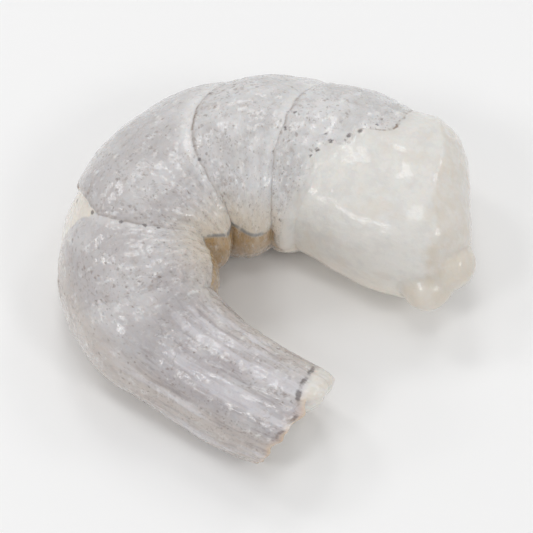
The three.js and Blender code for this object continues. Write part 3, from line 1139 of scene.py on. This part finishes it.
def wet_shader(nodes, skin, colour):
    """Translucent flesh under a film of water, with a fine grain."""
    smooth_flesh = nodes.larger(skin.cap, nodes.larger(skin.pale, skin.bare))
    wet = nodes.cloud(skin.place, "wetness", least=0.20, most=0.34)
    grain = nodes.times(nodes.noise(skin.place, size=0.55, detail=4, roughness=0.65), 0.10)
    pebbled = nodes.times(nodes.cells(skin.place, size=0.8, feature="SMOOTH_F1"), -0.05)
    bump = {"Strength": 0.8, "Distance": MM, "Height": nodes.plus(grain, pebbled)}
    inputs = {
        "Base Color": colour,
        "Roughness": nodes.plus(wet, nodes.times(smooth_flesh, 0.08)),
        "Normal": nodes.add("ShaderNodeBump", bump).outputs["Normal"],
        "IOR": 1.38,
        "Subsurface Weight": 0.45,
        "Subsurface Radius": (1.0, 0.72, 0.55),
        "Subsurface Scale": 1.6 * MM,
        "Coat Weight": nodes.ramp(smooth_flesh, 0.0, 1.0, to_low=1.0, to_high=0.8),
        "Coat Roughness": 0.10,
        "Coat IOR": 1.33,
    }
    return nodes.add("ShaderNodeBsdfPrincipled", inputs)


def flesh_material():
    """Wet, raw, slightly translucent flesh."""
    material = bpy.data.materials.new("wet_flesh")
    material.use_nodes = True
    tree = material.node_tree
    tree.nodes.clear()
    nodes = Nodes(tree)
    skin = read_skin(nodes)
    paint = Paint(nodes, FLESH_GREY)
    paint.lay(FLESH_PALE, nodes.cloud(skin.place, "ground"))
    paint_segments(nodes, skin, paint)
    paint_cap(nodes, skin, paint)
    paint_underside(nodes, skin, paint)
    paint_mottling(nodes, skin, paint)
    paint_stripes(nodes, skin, paint)
    paint_lines(nodes, skin, paint)
    paint_cuts(nodes, skin, paint)
    shader = wet_shader(nodes, skin, paint.colour)
    nodes.add("ShaderNodeOutputMaterial", {"Surface": shader.outputs[0]})
    return material


# The floor: half its width in metres, its grey and its roughness
FLOOR_HALF = 1.5
FLOOR_GREY = 0.90
FLOOR_ROUGHNESS = 0.6


def floor_material():
    material = bpy.data.materials.new("pale_floor")
    material.use_nodes = True
    shader = material.node_tree.nodes["Principled BSDF"]
    shader.inputs["Base Color"].default_value = (FLOOR_GREY, FLOOR_GREY, FLOOR_GREY, 1)
    shader.inputs["Roughness"].default_value = FLOOR_ROUGHNESS
    return material


def build_floor():
    grid = bmesh.new()
    bmesh.ops.create_grid(grid, x_segments=1, y_segments=1, size=FLOOR_HALF)
    mesh = bpy.data.meshes.new("floor")
    grid.to_mesh(mesh)
    grid.free()
    mesh.materials.append(floor_material())
    stage = bpy.data.objects.new("floor", mesh)
    bpy.context.scene.collection.objects.link(stage)


# What the lights and the camera are aimed at
CENTRE = Vector((0, 0, 0.008))

# Lights: the side they stand on and how high, in degrees, their width in metres, and
# their share of the exposure
PANEL_DISTANCE = 0.45
PANELS = [
    ("behind", 95, 55, 0.11, 0.10),
    ("behind_left", 142, 50, 0.09, 0.09),
    ("behind_right", 48, 46, 0.09, 0.07),
    ("left", 190, 30, 0.08, 0.05),
    ("front_left", 222, 46, 0.10, 0.12),
    ("front_right", 318, 44, 0.10, 0.12),
    ("above", 270, 82, 0.10, 0.08),
    ("rim_left", 178, 12, 0.50, 0.07),
    ("rim_behind", 88, 12, 0.50, 0.12),
    ("rim_right", 5, 14, 0.40, 0.06),
    ("rim_front", 282, 16, 0.50, 0.06),
]
AROUND_LIGHT = 0.48

# The camera looks down from the front, as the photo does
CAMERA_LENS = 200
CAMERA_DISTANCE = 0.375
CAMERA_ELEVATION = 55
CAMERA_CLIP = 0.01


def toward(azimuth, elevation):
    """The direction at an azimuth and an elevation in degrees."""
    turned, raised = math.radians(azimuth), math.radians(elevation)
    level = math.cos(raised)
    return Vector((level * math.cos(turned), level * math.sin(turned), math.sin(raised)))


def add_panel(name, azimuth, elevation, size, share):
    """A square soft light that faces the shrimp and gives that share of a plain exposure."""
    light = bpy.data.lights.new(name, "AREA")
    light.size = size
    light.energy = share * (math.pi * PANEL_DISTANCE) ** 2
    lamp = bpy.data.objects.new(name, light)
    direction = toward(azimuth, elevation)
    lamp.location = CENTRE + direction * PANEL_DISTANCE
    lamp.rotation_euler = direction.to_track_quat("Z", "Y").to_euler()
    bpy.context.scene.collection.objects.link(lamp)


def light_scene():
    for name, *settings in PANELS:
        add_panel(name, *settings)
    world = bpy.data.worlds.new("studio")
    world.use_nodes = True
    background = world.node_tree.nodes["Background"]
    background.inputs["Color"].default_value = (1, 1, 1, 1)
    background.inputs["Strength"].default_value = AROUND_LIGHT
    bpy.context.scene.world = world
    bpy.context.scene.view_settings.view_transform = "Standard"


def add_camera():
    camera = bpy.data.cameras.new("camera")
    camera.lens = CAMERA_LENS
    camera.clip_start = CAMERA_CLIP
    viewer = bpy.data.objects.new("camera", camera)
    direction = toward(-90, CAMERA_ELEVATION)
    viewer.location = CENTRE + direction * CAMERA_DISTANCE
    viewer.rotation_euler = direction.to_track_quat("Z", "Y").to_euler()
    bpy.context.scene.collection.objects.link(viewer)
    bpy.context.scene.camera = viewer


body = build_body()
body.data.materials.append(flesh_material())
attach(body, "root")
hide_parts("shrimp")
build_floor()
light_scene()
add_camera()
